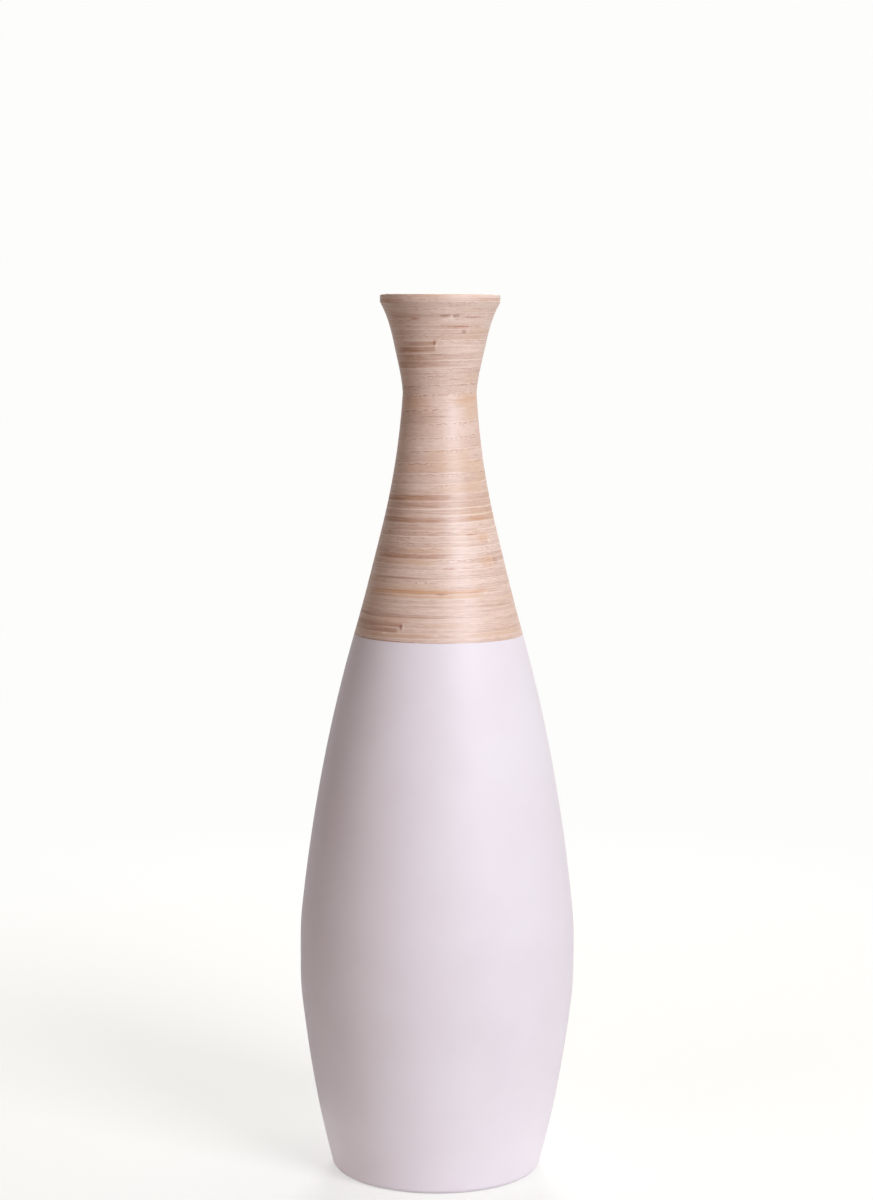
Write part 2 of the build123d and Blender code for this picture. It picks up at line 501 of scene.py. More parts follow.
class Shader:
    """The node tree of a material or the world, with short calls that add a node and give back its output."""

    # Where a mix node has its sockets for colours
    MIX_INPUTS = 0, 6, 7
    MIX_OUTPUT = 2

    def __init__(self, material):
        material.use_nodes = True
        self.material = material
        self.tree = material.node_tree
        self.surface = self.tree.nodes.get("Principled BSDF") or self.tree.nodes["Background"]

    def add(self, kind, **settings):
        node = self.tree.nodes.new("ShaderNode" + kind)
        for key, value in settings.items():
            setattr(node, key, value)
        return node

    def plug(self, socket, value):
        if isinstance(value, bpy.types.NodeSocket):
            self.tree.links.new(value, socket)
        else:
            socket.default_value = value

    def math(self, operation, *values):
        node = self.add("Math", operation=operation)
        for socket, value in zip(node.inputs, values):
            self.plug(socket, value)
        return node.outputs[0]

    def attribute(self, name):
        return self.add("Attribute", attribute_name=name).outputs["Fac"]

    def ease(self, value, low, high, start=0.0, end=1.0):
        """Goes smoothly from start to end as the value goes from low to high."""
        node = self.add("MapRange", interpolation_type="SMOOTHSTEP")
        names = "Value", "From Min", "From Max", "To Min", "To Max"
        for name, number in zip(names, (value, low, high, start, end)):
            self.plug(node.inputs[name], number)
        return node.outputs["Result"]

    def band(self, value, low, high, soft):
        """1 between low and high and 0 outside, with soft ends."""
        rise = self.ease(value, low - soft, low + soft)
        fall = self.ease(value, high - soft, high + soft, 1.0, 0.0)
        return self.math("MULTIPLY", rise, fall)

    def vector(self, x, y, z=0.0):
        node = self.add("CombineXYZ")
        for socket, value in zip(node.inputs, (x, y, z)):
            self.plug(socket, value)
        return node.outputs[0]

    def noise(self, vector, scale=1.0, detail=2.0):
        node = self.add("TexNoise")
        self.plug(node.inputs["Vector"], vector)
        node.inputs["Scale"].default_value = scale
        node.inputs["Detail"].default_value = detail
        return node.outputs["Fac"]

    def noise_along(self, value, scale, detail=1.0):
        node = self.add("TexNoise", noise_dimensions="1D")
        self.plug(node.inputs["W"], value)
        node.inputs["Scale"].default_value = scale
        node.inputs["Detail"].default_value = detail
        return node.outputs["Fac"]

    def mix(self, share, first, second):
        node = self.add("Mix", data_type="RGBA")
        for index, value in zip(self.MIX_INPUTS, (share, first, second)):
            self.plug(node.inputs[index], value)
        return node.outputs[self.MIX_OUTPUT]

    def ramp(self, value, stops):
        node = self.add("ValToRGB")
        elements = node.color_ramp.elements
        elements[0].position, elements[0].color = stops[0]
        elements[1].position, elements[1].color = stops[-1]
        for position, tint in stops[1:-1]:
            elements.new(position).color = tint
        self.plug(node.inputs["Fac"], value)
        return node.outputs["Color"]

    def bump(self, height, distance):
        node = self.add("Bump")
        self.plug(node.inputs["Height"], height)
        node.inputs["Distance"].default_value = distance
        return node.outputs["Normal"]


# Marks along the natural strip: the height of the mark's left end, where it starts and ends around the vase
# in degrees, the part of the strip's width that it covers, how strong it is, and whether a knot cuts off its
# right end
Mark = namedtuple("Mark", "height start end low high strength cut", defaults=[False])
BROWN_MARKS = [
    Mark(0.7945, -180, 180, 0.0, 1.0, 0.36),
    Mark(0.7985, -180, 180, 0.0, 1.0, 0.4),
    Mark(0.7785, -62, 16, 0.05, 0.95, 0.28),
    Mark(0.7725, -40, 20, 0.2, 0.75, 0.32),
    Mark(0.7675, -70, 18, 0.1, 0.8, 0.24),
    Mark(0.7567, -40, -6, 0.0, 0.75, 0.6, True),
    Mark(0.7535, -62, -6, 0.15, 1.0, 0.75, True),
    Mark(0.7455, -62, 16, 0.05, 0.9, 0.32),
    Mark(0.7390, -180, 24, 0.1, 0.85, 0.3),
    Mark(0.7400, 24, 180, 0.1, 0.85, 0.15),
    Mark(0.7325, -180, 30, 0.1, 0.85, 0.34),
    Mark(0.7335, 30, 180, 0.1, 0.85, 0.2),
    Mark(0.6235, 24, 180, 0.1, 0.9, 0.35),
    Mark(0.6150, -180, 20, 0.05, 0.9, 0.7),
    Mark(0.6090, -180, 180, 0.05, 0.85, 0.46),
    Mark(0.6030, -180, 180, 0.15, 0.85, 0.42),
    Mark(0.5985, -180, 8, 0.05, 0.9, 0.6),
    Mark(0.6000, 8, 180, 0.1, 0.9, 0.35),
    Mark(0.5690, -64, 10, 0.05, 0.95, 0.72),
    Mark(0.5705, 42, 80, 0.3, 0.75, 0.5),
    Mark(0.5645, 60, 100, 0.1, 0.9, 0.45),
    Mark(0.5525, -66, -10, 0.0, 0.4, 0.75),
    Mark(0.5140, -100, 0, 0.1, 0.8, 0.6),
    Mark(0.5070, -100, -27, 0.1, 1.0, 0.75, True),
    Mark(0.5030, -100, -30, 0.0, 0.95, 0.6, True),
    Mark(0.5055, 36, 90, 0.1, 0.45, 0.5),
]
ORANGE_MARKS = [
    Mark(0.7080, -75, -18, 0.1, 0.9, 0.35),
    Mark(0.7055, 22, 85, 0.35, 0.62, 0.5),
    Mark(0.6480, -60, 5, 0.1, 0.9, 0.3),
    Mark(0.6000, 31, 60, 0.1, 0.9, 0.5),
    Mark(0.5640, -60, -10, 0.1, 0.95, 0.3),
    Mark(0.5380, -66, 38, 0.05, 0.95, 0.75),
    Mark(0.5345, -66, 30, 0.3, 0.95, 0.6),
    Mark(0.5010, -60, -5, 0.1, 0.95, 0.3),
]

# Small marks in front: the height, the place around the vase in degrees, half the mark's height, half its
# length in degrees, and how strong it is
Spot = namedtuple("Spot", "height angle half_height half_length strength")
DARK_SPOTS_AND_PAINTED_SHADE = [
    Spot(0.7812, 5.0, 1.2 * MM, 6.0, 0.5),
    Spot(0.7812, 17.0, 1.6 * MM, 4.5, 0.5),
    Spot(0.7670, 29.0, 2.0 * MM, 3.6, 0.45),
    Spot(0.7572, -6.6, 2.2 * MM, 2.2, 0.7),
    Spot(0.7467, -4.6, 0.6 * MM, 12.0, 0.5),
    Spot(0.6918, -5.8, 0.8 * MM, 22.0, 0.35),
    Spot(0.6037, 35.2, 0.8 * MM, 1.0, 0.7),
    Spot(0.5631, 60.6, 3.4 * MM, 4.0, 0.34),
    Spot(0.5461, -10.7, 0.8 * MM, 0.9, 0.6),
    Spot(0.5458, -18.5, 0.8 * MM, 0.9, 0.6),
    Spot(0.5363, 2.0, 0.9 * MM, 4.5, 0.6),
    Spot(0.5072, -27.2, 2.6 * MM, 1.3, 0.7),
    # The last two are thin dark lines along the edge of the white, drawn partly as painted shade under the
    # natural strip's edge, stronger on the shaded left
    Spot(0.4944, -44.0, 0.6 * MM, 32.0, 0.65),
    Spot(0.4943, 20.0, 0.4 * MM, 50.0, 0.35),
]
RED_SPOTS = [
    Spot(0.7798, 36.6, 0.8 * MM, 13.0, 0.5),
    Spot(0.7783, -28.1, 0.9 * MM, 6.0, 0.75),
    Spot(0.7717, 25.9, 0.8 * MM, 11.0, 0.6),
    Spot(0.7248, 24.2, 0.6 * MM, 13.0, 0.4),
    Spot(0.5919, 34.0, 0.7 * MM, 9.0, 0.55),
    Spot(0.5875, 33.2, 0.7 * MM, 8.5, 0.75),
    Spot(0.5586, 25.6, 0.6 * MM, 7.5, 0.45),
    Spot(0.5583, 8.9, 0.6 * MM, 6.5, 0.7),
]
ORANGE_SPOTS = [
    Spot(0.5844, 49.0, 4.6 * MM, 8.5, 0.42),
    Spot(0.5639, 50.0, 5.0 * MM, 10.0, 0.42),
]
PALE_SPOTS = [
    Spot(0.7776, 7.6, 1.3 * MM, 5.5, 0.8),
    Spot(0.7784, 11.0, 1.9 * MM, 5.0, 0.85),
    Spot(0.7802, 12.2, 1.2 * MM, 1.6, 0.8),
    Spot(0.7552, -4.2, 2.4 * MM, 1.0, 0.9),
    Spot(0.7503, 44.1, 0.8 * MM, 17.0, 0.6),
    Spot(0.6640, -28.0, 1.0 * MM, 7.0, 0.6),
    Spot(0.5818, 55.4, 3.0 * MM, 1.3, 0.8),
    Spot(0.5650, 10.4, 1.3 * MM, 1.8, 0.6),
    Spot(0.5366, 39.9, 2.2 * MM, 2.6, 0.35),
    Spot(0.5066, -25.3, 2.2 * MM, 0.8, 0.6),
    Spot(0.5010, -40.3, 1.0 * MM, 1.8, 0.6),
    Spot(0.5003, -2.0, 1.0 * MM, 2.0, 0.5),
]

# How far the ends of the marks fray and how soft they are, in turns, also where a knot cuts them off, and how
# ragged and soft the marks are across the strip
MARK_FRAY = 0.16
MARK_SOFT = 0.03
CUT_FRAY = 0.01
CUT_SOFT = 0.003
ACROSS_FRAY = 0.2
ACROSS_SOFT = 0.18

# How uneven the outline of a small mark is, and where it starts and stops fading, as squares of its half size
SPOT_UNEVEN = 3.2
SPOT_FADE = 0.1, 1.5

# Beyond this part of a turn from the front, chance places the brown stretches
FRONT_HALF = 0.26
FRONT_SOFT = 0.02

# How far the edges of the strip stray from their even winding, and how often in a metre
WAVER = 1.1 * MM
WAVER_SCALE = 32.0

# Colours of the strip from its darkest tone to its palest, and of what is on it
STRIP_TONES = [
    (0.0, colour(154, 102, 72)),
    (0.35, colour(204, 169, 149)),
    (0.6, colour(227, 199, 185)),
    (1.0, colour(245, 226, 216)),
]
WARM = colour(218, 182, 148)
ORANGE = colour(212, 156, 106)
BROWN = colour(166, 102, 60)
RED = colour(178, 98, 68)
DARK = colour(142, 80, 50)
PALE = colour(244, 224, 213)
DASH = colour(178, 104, 72)
LIGHT_LINE = colour(246, 226, 214)
TICK = colour(170, 122, 100)
FIBRE_END = colour(168, 88, 58)

# Noise drawn out along the strip: how many streaks to a turn and to a metre of height, and their detail
Streaks = namedtuple("Streaks", "along upward detail", defaults=[2.0])
BROAD = Streaks(3.0, 380.0)
MIDDLING = Streaks(5.0, 850.0)
FIBRES = Streaks(9.0, 2300.0, 3.0)
FLECKS = Streaks(34.0, 800.0, 1.0)
FRAYED = Streaks(3.0, 900.0)
RAGGED = Streaks(60.0, 300.0)
CHIPPED = Streaks(150.0, 800.0)
LONG_DASHES = Streaks(22.0, 620.0, 1.0)
SHORT_DASHES = Streaks(58.0, 1400.0, 1.0)

# Stretches along the strip that chance places: how many to a turn, their detail, between which levels of the
# noise they come in, and their strength at those two levels
Chance = namedtuple("Chance", "along detail low high start end", defaults=[0.0, 1.0])
WARM_STRETCHES = Chance(3.4, 1.0, 0.5, 0.7, 0.0, 0.4)
WARM_OFFSET = 0.5
BROWN_STRETCHES = Chance(3.1, 1.0, 0.58, 0.72)
BROWN_PATCHES = Chance(13.0, 1.0, 0.35, 0.65, 1.0, 0.75)
EDGE_STRETCHES = Chance(1.9, 2.0, 0.36, 0.6, 0.15, 1.0)
DOTTED_STRETCHES = Chance(5.0, 1.0, 0.36, 0.54)

# Tone of the strip, from 0 to 1: its usual level, and how far it shifts with each kind of noise, and from the
# lower edge of a turn to a part of its width
USUAL_TONE = 0.58
SLOW_CHANGES = 2.6
SLOW_DETAIL = 2.0
SLOW_SHIFT = 0.5
BROAD_SHIFT = 0.6
MIDDLING_SHIFT = 0.75
FIBRE_SHIFT = 0.3
FLECK_SHIFT = 0.42
SHADED_PART = 0.6
SHADED_SHIFTS = -0.16, 0.02

# How brown and orange marks weaken on pale streaks: the range of the streaks, and the strength at its ends
STREAKY_MARKS = -0.2, 0.2, 1.0, 0.5

# From which level of their noise the dashes show, and how strong they are
LONG_DASH_LEVELS = 0.17, 0.23
SHORT_DASH_LEVELS = 0.16, 0.22
DASH_STRENGTH = 0.45

# Between these depths under the seam the pale edge fades
PALE_EDGE_FADE = 0.2 * MM, 2.3 * MM

# The torn line of fibre ends: its depth under the seam, how much deeper it lies under a full pale edge, how
# far it is torn and how far single fibres reach, with how many of each to a turn, between which distances it
# fades, and the chance of each dot with its least and greatest strength
LINE_DEPTH = 0.5 * MM
LINE_UNDER_EDGE = 2.2 * MM
LINE_TORN = 2.4 * MM
LINE_TEARS = 42.0
FIBRE_REACH = 0.5 * MM
FIBRES_IN_TURN = 105.0
LINE_FADE = 0.1 * MM, 0.6 * MM
DOT_CHANCE = 0.25, 0.6, 0.1, 0.75

# The light line over it: how far above, between which distances it fades, and its strength
LIGHT_ABOVE = 0.9 * MM
LIGHT_FADE = 0.2 * MM, 0.7 * MM
LIGHT_STRENGTH = 0.45

# The upright ticks under it: how many to a turn, between which parts of their spacing they fade, their
# strength, the chance of each, and the depths between which they hang
TICKS_IN_TURN = 53.0
TICK_FADE = 0.06, 0.2
TICK_STRENGTH = 0.35
TICK_CHANCE = 0.4, 0.7
TICK_REACH = 0.2 * MM, 2.4 * MM
TICK_SOFT = 0.8 * MM

# Relief of the strip: fibres stand up, and fibre ends are sunk
FIBRE_HEIGHT = 0.5
DOT_HEIGHT = -0.6

# A place on the strip: the run along it in turns, the part of its width from its lower edge, the height, the
# part of a turn from the front, the depth under the seam above, and how streaked and how pale at its edge the
# strip is there
Place = namedtuple("Place", "run across height around under_seam streaked pale_edge")


def mark_mask(shader, marks, place, frayed, ragged):
    """How strongly a list of marks covers a place on the strip; their ends fray along the fibres."""
    frayed_run = shader.math("MULTIPLY_ADD", frayed, MARK_FRAY, place.run)
    cut_run = shader.math("MULTIPLY_ADD", frayed, CUT_FRAY, place.run)
    rough_across = shader.math("MULTIPLY_ADD", ragged, ACROSS_FRAY, place.across)
    total = 0.0
    for mark in marks:
        start = mark.start / TURN_DEGREES
        end = mark.end / TURN_DEGREES
        turn = math.floor(float(winding_at(mark.height)) - start)
        begun = shader.ease(frayed_run, turn + start - MARK_SOFT, turn + start + MARK_SOFT)
        run, soft = (cut_run, CUT_SOFT) if mark.cut else (frayed_run, MARK_SOFT)
        ended = shader.ease(run, turn + end - soft, turn + end + soft, mark.strength, 0.0)
        over = shader.band(rough_across, mark.low, mark.high, ACROSS_SOFT)
        cover = shader.math("MULTIPLY", shader.math("MULTIPLY", begun, ended), over)
        total = shader.math("MAXIMUM", total, cover)
    return total


def spot_mask(shader, spots, place, chipped):
    """How strongly a list of small marks covers a place on the wall; their outlines are uneven."""
    uneven = shader.math("MULTIPLY", chipped, SPOT_UNEVEN)
    total = 0.0
    for spot in spots:
        angle = spot.angle / TURN_DEGREES
        half_length = spot.half_length / TURN_DEGREES
        aside = shader.math("DIVIDE", shader.math("SUBTRACT", place.around, angle), half_length)
        above = shader.math("DIVIDE", shader.math("SUBTRACT", place.height, spot.height), spot.half_height)
        away = shader.math("MULTIPLY_ADD", aside, aside, shader.math("MULTIPLY", above, above))
        cover = shader.ease(shader.math("ADD", away, uneven), *SPOT_FADE, spot.strength, 0.0)
        total = shader.math("MAXIMUM", total, cover)
    return total


def strip_place(shader):
    """Where a point lies on the strip, whose edges waver a little."""
    point = shader.add("TexCoord").outputs["Object"]
    split = shader.add("SeparateXYZ")
    shader.plug(split.inputs[0], point)
    x, y, z = split.outputs
    angle = shader.math("ARCTAN2", x, shader.math("MULTIPLY", y, -1.0))
    around = shader.math("DIVIDE", angle, FULL_TURN)
    pitch = shader.attribute("pitch")
    stray = shader.math("SUBTRACT", shader.noise(point, WAVER_SCALE), 0.5)
    waver = shader.math("DIVIDE", shader.math("MULTIPLY", stray, WAVER), pitch)
    wound = shader.math("SUBTRACT", shader.attribute("winding"), around)
    wound = shader.math("ADD", wound, waver)
    run = shader.math("ADD", shader.math("FLOOR", wound), around)
    across = shader.math("FRACT", wound)
    under_seam = shader.math("MULTIPLY", shader.math("SUBTRACT", 1.0, across), pitch)
    streaked = shader.attribute("streaks")
    return Place(run, across, z, around, under_seam, streaked, shader.attribute("pale_edge"))


def streaks(shader, place, kind):
    """Streaks of a kind, from -0.5 to 0.5."""
    along = shader.math("MULTIPLY", place.run, kind.along)
    upward = shader.math("MULTIPLY", place.height, kind.upward)
    return shader.math("SUBTRACT", shader.noise(shader.vector(along, upward), detail=kind.detail), 0.5)


def by_chance(shader, run, kind):
    """Strength of a kind of stretch that chance places along the strip."""
    noise = shader.noise_along(run, kind.along, kind.detail)
    return shader.ease(noise, kind.low, kind.high, kind.start, kind.end)


def jagged(shader, run, cells):
    """A number from 0 to 1 that jumps so many times in a turn."""
    node = shader.add("TexWhiteNoise", noise_dimensions="1D")
    shader.plug(node.inputs["W"], shader.math("FLOOR", shader.math("MULTIPLY", run, cells)))
    return node.outputs["Value"]


def strip_colour(shader, place, middling, fibres):
    """Colour along the strip, darker towards the lower edge of each turn, and streaked from broad to fine."""
    slow = shader.noise_along(place.run, SLOW_CHANGES, SLOW_DETAIL)
    broad = streaks(shader, place, BROAD)
    shifts = [
        (shader.math("SUBTRACT", slow, 0.5), SLOW_SHIFT),
        (shader.math("MULTIPLY", broad, place.streaked), BROAD_SHIFT),
        (shader.math("MULTIPLY", middling, place.streaked), MIDDLING_SHIFT),
        (fibres, FIBRE_SHIFT),
        (streaks(shader, place, FLECKS), FLECK_SHIFT),
        (shader.ease(place.across, 0.0, SHADED_PART, *SHADED_SHIFTS), place.pale_edge),
    ]
    # Painted light: the throat, mouth and rim lift the usual tone, standing in for light the flared mouth
    # catches from below
    tone = shader.math("ADD", shader.attribute("paler"), USUAL_TONE)
    for noise, shift in shifts:
        tone = shader.math("MULTIPLY_ADD", noise, shift, tone)
    warm = by_chance(shader, shader.math("ADD", place.run, WARM_OFFSET), WARM_STRETCHES)
    return shader.mix(warm, shader.ramp(tone, STRIP_TONES), WARM)


def add_marks(shader, place, middling, fibres, tint):
    """Brown and orange stretches of the strip, and small marks; behind, chance places the brown ones."""
    frayed = streaks(shader, place, FRAYED)
    ragged = streaks(shader, place, RAGGED)
    chipped = streaks(shader, place, CHIPPED)
    streaky = shader.ease(shader.math("ADD", middling, fibres), *STREAKY_MARKS)

    frayed_run = shader.math("MULTIPLY_ADD", frayed, MARK_FRAY, place.run)
    chance = shader.math("MULTIPLY", by_chance(shader, frayed_run, BROWN_STRETCHES), place.streaked)
    behind = shader.math("SUBTRACT", 1.0, shader.band(place.around, -FRONT_HALF, FRONT_HALF, FRONT_SOFT))
    brown = mark_mask(shader, BROWN_MARKS, place, frayed, ragged)
    brown = shader.math("MAXIMUM", brown, shader.math("MULTIPLY", chance, behind))
    brown = shader.math("MULTIPLY", brown, streaky)
    brown = shader.math("MULTIPLY", brown, by_chance(shader, place.run, BROWN_PATCHES))

    orange = shader.math("MULTIPLY", mark_mask(shader, ORANGE_MARKS, place, frayed, ragged), streaky)
    orange = shader.math("MAXIMUM", orange, spot_mask(shader, ORANGE_SPOTS, place, chipped))

    tint = shader.mix(orange, tint, ORANGE)
    tint = shader.mix(brown, tint, BROWN)
    # The dark small marks include a line of painted shade along the edge of the white
    for spots, spot_colour in ((RED_SPOTS, RED), (DARK_SPOTS_AND_PAINTED_SHADE, DARK), (PALE_SPOTS, PALE)):
        tint = shader.mix(spot_mask(shader, spots, place, chipped), tint, spot_colour)
    return tint


def add_dashes(shader, place, tint):
    """Reddish dashes of fibre, long and short."""
    long_dashes = shader.ease(streaks(shader, place, LONG_DASHES), *LONG_DASH_LEVELS)
    short_dashes = shader.ease(streaks(shader, place, SHORT_DASHES), *SHORT_DASH_LEVELS)
    strength = shader.math("MULTIPLY", place.streaked, DASH_STRENGTH)
    dashes = shader.math("MULTIPLY", shader.math("MAXIMUM", long_dashes, short_dashes), strength)
    return shader.mix(dashes, tint, DASH)


def add_pale_edge(shader, place, tint):
    """Pale edge along the top of each turn, stronger in some stretches."""
    edge = shader.ease(place.under_seam, *PALE_EDGE_FADE, 1.0, 0.0)
    edge = shader.math("MULTIPLY", edge, by_chance(shader, place.run, EDGE_STRETCHES))
    return shader.mix(shader.math("MULTIPLY", edge, place.pale_edge), tint, PALE)


def add_fibre_ends(shader, place, tint):
    """Dark fibre ends in a torn dotted line under the pale edge, or at the seam where there is no such edge.

    A light line runs over them and fine upright ticks hang under them. Gives back the colour and the dots.
    """
    torn = shader.math("SUBTRACT", shader.noise_along(place.run, LINE_TEARS), 0.5)
    fibre = jagged(shader, place.run, FIBRES_IN_TURN)
    depth = shader.math("MULTIPLY_ADD", place.pale_edge, LINE_UNDER_EDGE, LINE_DEPTH)
    depth = shader.math("MULTIPLY_ADD", torn, LINE_TORN, depth)
    depth = shader.math("MULTIPLY_ADD", fibre, FIBRE_REACH, depth)
    under_line = shader.math("SUBTRACT", place.under_seam, depth)
    strength = by_chance(shader, place.run, DOTTED_STRETCHES)
    strength = shader.math("MULTIPLY", strength, shader.attribute("dark_dots"))

    from_light = shader.math("ABSOLUTE", shader.math("ADD", under_line, LIGHT_ABOVE))
    light = shader.ease(from_light, *LIGHT_FADE, LIGHT_STRENGTH, 0.0)
    tint = shader.mix(shader.math("MULTIPLY", light, strength), tint, LIGHT_LINE)

    tick_space = shader.math("FRACT", shader.math("MULTIPLY", place.run, TICKS_IN_TURN))
    from_tick = shader.math("ABSOLUTE", shader.math("SUBTRACT", tick_space, 0.5))
    tick = shader.ease(from_tick, *TICK_FADE, TICK_STRENGTH, 0.0)
    chosen = shader.ease(jagged(shader, place.run, TICKS_IN_TURN), *TICK_CHANCE)
    hanging = shader.band(under_line, *TICK_REACH, TICK_SOFT)
    tick = shader.math("MULTIPLY", shader.math("MULTIPLY", tick, chosen), hanging)
    tint = shader.mix(shader.math("MULTIPLY", tick, strength), tint, TICK)

    line = shader.ease(shader.math("ABSOLUTE", under_line), *LINE_FADE, 1.0, 0.0)
    dots = shader.math("MULTIPLY", line, strength)
    dots = shader.math("MULTIPLY", dots, shader.ease(fibre, *DOT_CHANCE))
    return shader.mix(dots, tint, FIBRE_END), dots


def bamboo(shader, marked):
    """Colour and relief of bamboo strip, with the marks of the natural part where marked."""
    place = strip_place(shader)
    middling = streaks(shader, place, MIDDLING)
    fibres = streaks(shader, place, FIBRES)
    tint = strip_colour(shader, place, middling, fibres)
    if marked:
        tint = add_marks(shader, place, middling, fibres, tint)
    tint = add_dashes(shader, place, tint)
    tint = add_pale_edge(shader, place, tint)
    tint, dots = add_fibre_ends(shader, place, tint)
    relief = shader.math("MULTIPLY_ADD", dots, DOT_HEIGHT, shader.math("MULTIPLY", fibres, FIBRE_HEIGHT))
    return tint, relief


# Finishes: clear satin lacquer on the natural part, white satin lacquer on the body, and bare bamboo inside
NATURAL_ROUGHNESS = 0.52
NATURAL_GLOSS = 1.0
NATURAL_GLOSS_TINT = (0.84, 0.92, 1.0, 1.0)
NATURAL_BUMP = 0.12 * MM
WHITE_ROUGHNESS = 0.5
WHITE_GLOSS = 0.3
WHITE_BUMP = 0.1 * MM
WHITE_CLOUDS = colour(238, 231, 240), colour(241, 235, 244)
CLOUD_SCALE = 14.0
CLOUD_DETAIL = 3.0
CLOUD_LEVELS = 0.3, 0.7
SHOWN_THROUGH = 0.3
DUST_SCALE = 900.0
DUST_HEIGHT = 0.1
BARE = colour(196, 152, 112)
BARE_SHARE = 0.35
BARE_ROUGHNESS = 0.7
BARE_BUMP = 0.15 * MM


def lacquer(shader, finish, tint, roughness, gloss):
    """A lacquered colour outside, and bare bamboo inside."""
    inside = shader.attribute("inside")
    bare = shader.mix(BARE_SHARE, tint, BARE)
    inputs = shader.surface.inputs
    shader.plug(inputs["Base Color"], shader.mix(inside, finish, bare))
    shader.plug(inputs["Roughness"], shader.ease(inside, 0.0, 1.0, roughness, BARE_ROUGHNESS))
    inputs["Specular IOR Level"].default_value = gloss


def natural_bamboo():
    """Bamboo under a clear satin lacquer outside, and bare inside."""
    shader = Shader(bpy.data.materials.new("natural_bamboo_satin"))
    tint, relief = bamboo(shader, marked=True)
    lacquer(shader, tint, tint, NATURAL_ROUGHNESS, NATURAL_GLOSS)
    shader.surface.inputs["Specular Tint"].default_value = NATURAL_GLOSS_TINT
    shader.plug(shader.surface.inputs["Normal"], shader.bump(relief, NATURAL_BUMP))
    return shader.material


def white_lacquer():
    """Satin white lacquer, faintly clouded and dusty, over the strips outside, and bare bamboo inside."""
    shader = Shader(bpy.data.materials.new("white_satin_lacquer"))
    tint, relief = bamboo(shader, marked=False)
    point = shader.add("TexCoord").outputs["Object"]
    cloud = shader.ease(shader.noise(point, CLOUD_SCALE, CLOUD_DETAIL), *CLOUD_LEVELS)
    lacquer(shader, shader.mix(cloud, *WHITE_CLOUDS), tint, WHITE_ROUGHNESS, WHITE_GLOSS)
    dust = shader.math("MULTIPLY", shader.noise(point, DUST_SCALE), DUST_HEIGHT)
    relief = shader.math("MULTIPLY_ADD", relief, SHOWN_THROUGH, dust)
    shader.plug(shader.surface.inputs["Normal"], shader.bump(relief, WHITE_BUMP))
    return shader.material


def raw_bamboo():
    """Bare sanded bamboo."""
    shader = Shader(bpy.data.materials.new("raw_bamboo_sanded"))
    tint, relief = bamboo(shader, marked=False)
    shader.plug(shader.surface.inputs["Base Color"], shader.mix(BARE_SHARE, tint, BARE))
    shader.surface.inputs["Roughness"].default_value = BARE_ROUGHNESS
    shader.plug(shader.surface.inputs["Normal"], shader.bump(relief, BARE_BUMP))
    return shader.material


# Pieces of the vase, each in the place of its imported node

def place_piece(name, mesh, material):
    """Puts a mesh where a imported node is, with the node's finish."""
    piece = bpy.data.objects.new(name + "_wound", mesh)
    bpy.context.scene.collection.objects.link(piece)
    mesh.materials.append(material)
    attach(piece, "root")
    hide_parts(name)


materials = {
    "natural_bamboo": natural_bamboo(),
    "white_lacquer": white_lacquer(),
    "raw_bamboo": raw_bamboo(),
}
for index, name in enumerate(hoops):
    striped = slot_of[name] == "natural_bamboo"
    if striped:
        points, outside_rows = section(index, STRIPED_ROW, wall_radius)
    else:
        points, outside_rows = section(index, WHITE_ROW, sanded_radius)
    crown = STRIPED_CROWN if striped else WHITE_CROWN
    mesh = ring_mesh(name + "_wall", points, outside_rows, crown, LOOKS.get(name, PLAIN_LOOK))
    place_piece(name, mesh, materials[slot_of[name]])
place_piece(DISC, disc_mesh(), materials[slot_of[DISC]])


# Camera, as the photo was taken: looking a little down from just under the rim's height
CAMERA_PLACE = (-0.002, -2.408, 0.7864)
CAMERA_PITCH = math.radians(6.21)
CAMERA_ROLL = math.radians(0.26)
CAMERA_LENS = 80.1
CAMERA_SENSOR = 36.0

camera_data = bpy.data.cameras.new("camera")
camera_data.lens = CAMERA_LENS
camera_data.sensor_width = CAMERA_SENSOR
camera = bpy.data.objects.new("camera", camera_data)
camera.location = CAMERA_PLACE
pitched = Matrix.Rotation(math.pi / 2 - CAMERA_PITCH, 3, "X")
camera.rotation_euler = (pitched @ Matrix.Rotation(CAMERA_ROLL, 3, "Z")).to_euler()
bpy.context.scene.collection.objects.link(camera)
bpy.context.scene.camera = camera


# Light: a soft key high on the right, weaker lamps on the left, behind the left edge, on the far right and
# from above, and one for the back; each lamp's place, size, power, colour and whether it shows in the gloss
Lamp = namedtuple("Lamp", "name place width height power tint in_gloss", defaults=[True])
LAMPS = [
    Lamp("key", (1.87, -2.35, 1.8), 1.5, 1.6, 93, (0.967, 0.967, 1.0)),
    Lamp("left", (-2.12, -2.12, 1.0), 1.8, 1.8, 22.5, (1.0, 0.83, 0.73), in_gloss=False),
    Lamp("left edge", (-2.6, 1.2, 1.2), 1.8, 1.8, 4, (1.0, 0.92, 0.88), in_gloss=False),
    Lamp("right", (2.99, 0.26, 1.3), 1.2, 1.8, 8, (1.0, 0.8, 0.62)),
    Lamp("top", (0.63, 0.75, 2.8), 1.6, 1.6, 15, (1.0, 0.99, 0.8)),
    Lamp("back", (0.0, 2.9, 1.6), 0.9, 1.8, 62, (1.0, 0.98, 0.96)),
]
LIT_POINT = Vector((0, 0, 0.42))

for lamp in LAMPS:
    light = bpy.data.lights.new(lamp.name, "AREA")
    light.shape = "RECTANGLE"
    light.size = lamp.width
    light.size_y = lamp.height
    light.energy = lamp.power
    light.color = lamp.tint
    light_object = bpy.data.objects.new(lamp.name, light)
    light_object.location = lamp.place
    light_object.rotation_euler = (LIT_POINT - Vector(lamp.place)).to_track_quat("-Z", "Y").to_euler()
    light_object.visible_camera = False
    light_object.visible_glossy = lamp.in_gloss
    bpy.context.scene.collection.objects.link(light_object)


